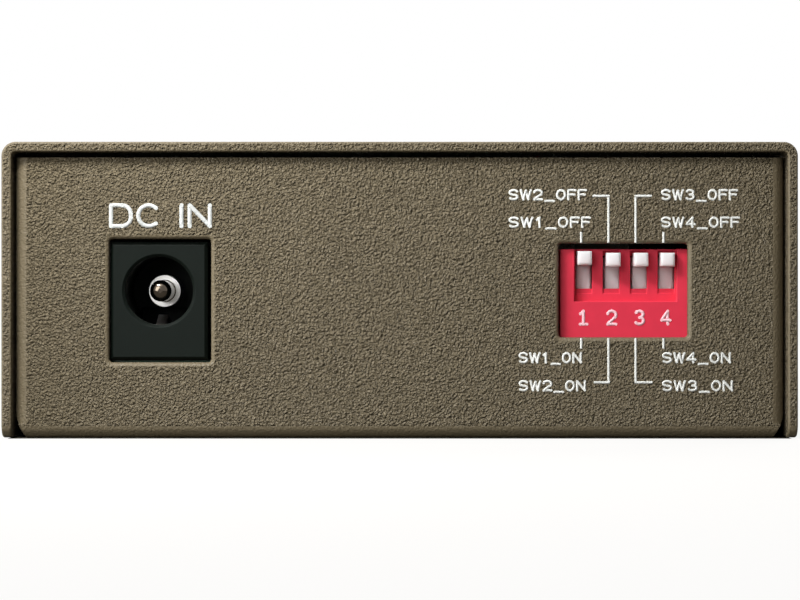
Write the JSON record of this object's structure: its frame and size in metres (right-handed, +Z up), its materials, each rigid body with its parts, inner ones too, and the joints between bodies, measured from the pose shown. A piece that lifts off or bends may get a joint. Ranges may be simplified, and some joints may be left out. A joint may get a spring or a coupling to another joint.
{
  "type": "fibre media converter",
  "caption": "Low folded-steel box that links a copper network socket to fibre ports on one end panel, with a power socket and slide switches on the other.",
  "frame": {"origin": "middle of the underside", "axes": "+X to the right as the back panel is looked at, +Y from the back panel with the power socket to the front panel with the ports, +Z up"},
  "size_m": [0.073, 0.0944, 0.0272],
  "materials": {
    "case_paint": "textured powder coat",
    "screw_steel": "plated",
    "post_steel": "plated",
    "board_mask": "solder mask",
    "socket_black": "fine satin",
    "contact_metal": "tin plated",
    "contact_gold": "gold plated",
    "switch_red": "satin",
    "switch_black": "moulded",
    "slider_white": "moulded",
    "shield_metal": "nickel plated",
    "fibre_black": "moulded",
    "fibre_blue": "moulded",
    "ferrule_white": "ground",
    "can_gold": "plated",
    "lamp_green": "diffused",
    "chip_black": "moulded",
    "crystal_metal": "drawn",
    "coil_ferrite": "pressed",
    "capacitor_metal": "drawn",
    "component_ceramic": "fired"
  },
  "bodies": {
    "case": {"base_tray": "case_paint", "cover_shell": "case_paint", "cover_screws": "screw_steel", "board_posts": "post_steel", "board_screws": "screw_steel", "circuit_board": "board_mask", "power_socket_housing": "socket_black", "power_socket_pin": "contact_metal", "power_socket_leaf": "contact_metal", "power_socket_shunt": "contact_metal", "switch_cover": "switch_red", "switch_base": "switch_black", "switch_terminals": "contact_metal", "network_socket_housing": "socket_black", "network_socket_shield": "shield_metal", "network_socket_contacts": "contact_gold", "fibre_housing": "fibre_black", "fibre_lid": "fibre_black", "fibre_latches": "fibre_blue", "transmit_sleeve": "ferrule_white", "receive_sleeve": "ferrule_white", "transmit_can": "can_gold", "receive_can": "can_gold", "fibre_board": "board_mask", "fibre_pins": "contact_metal", "lamp_holder": "switch_black", "lamp_leads": "contact_metal", "converter_chip": "chip_black", "converter_chip_leads": "contact_metal", "line_transformer": "chip_black", "line_transformer_leads": "contact_metal", "memory_chip": "chip_black", "memory_chip_leads": "contact_metal", "crystal_can": "crystal_metal", "power_coil": "coil_ferrite", "capacitor_1": "capacitor_metal", "capacitor_2": "capacitor_metal", "capacitor_3": "capacitor_metal", "regulator_body": "chip_black", "regulator_leads": "contact_metal", "chip_components": "component_ceramic", "lamp_1": "lamp_green", "lamp_2": "lamp_green", "lamp_3": "lamp_green", "lamp_4": "lamp_green", "lamp_5": "lamp_green", "lamp_6": "lamp_green"},
    "slider_1": {"switch_slider_1": "slider_white", "switch_contact_1": "contact_gold"},
    "slider_2": {"switch_slider_2": "slider_white", "switch_contact_2": "contact_gold"},
    "slider_3": {"switch_slider_3": "slider_white", "switch_contact_3": "contact_gold"},
    "slider_4": {"switch_slider_4": "slider_white", "switch_contact_4": "contact_gold"}
  },
  "joints": [
    {"name": "slide_1", "type": "slide", "parent": "case", "child": "slider_1", "axis": [0, 0, -1], "range_m": [0, 0.00215]},
    {"name": "slide_2", "type": "slide", "parent": "case", "child": "slider_2", "axis": [0, 0, -1], "range_m": [-0.00015, 0.002]},
    {"name": "slide_3", "type": "slide", "parent": "case", "child": "slider_3", "axis": [0, 0, -1], "range_m": [-0.00015, 0.002]},
    {"name": "slide_4", "type": "slide", "parent": "case", "child": "slider_4", "axis": [0, 0, -1], "range_m": [-0.00015, 0.002]}
  ]
}
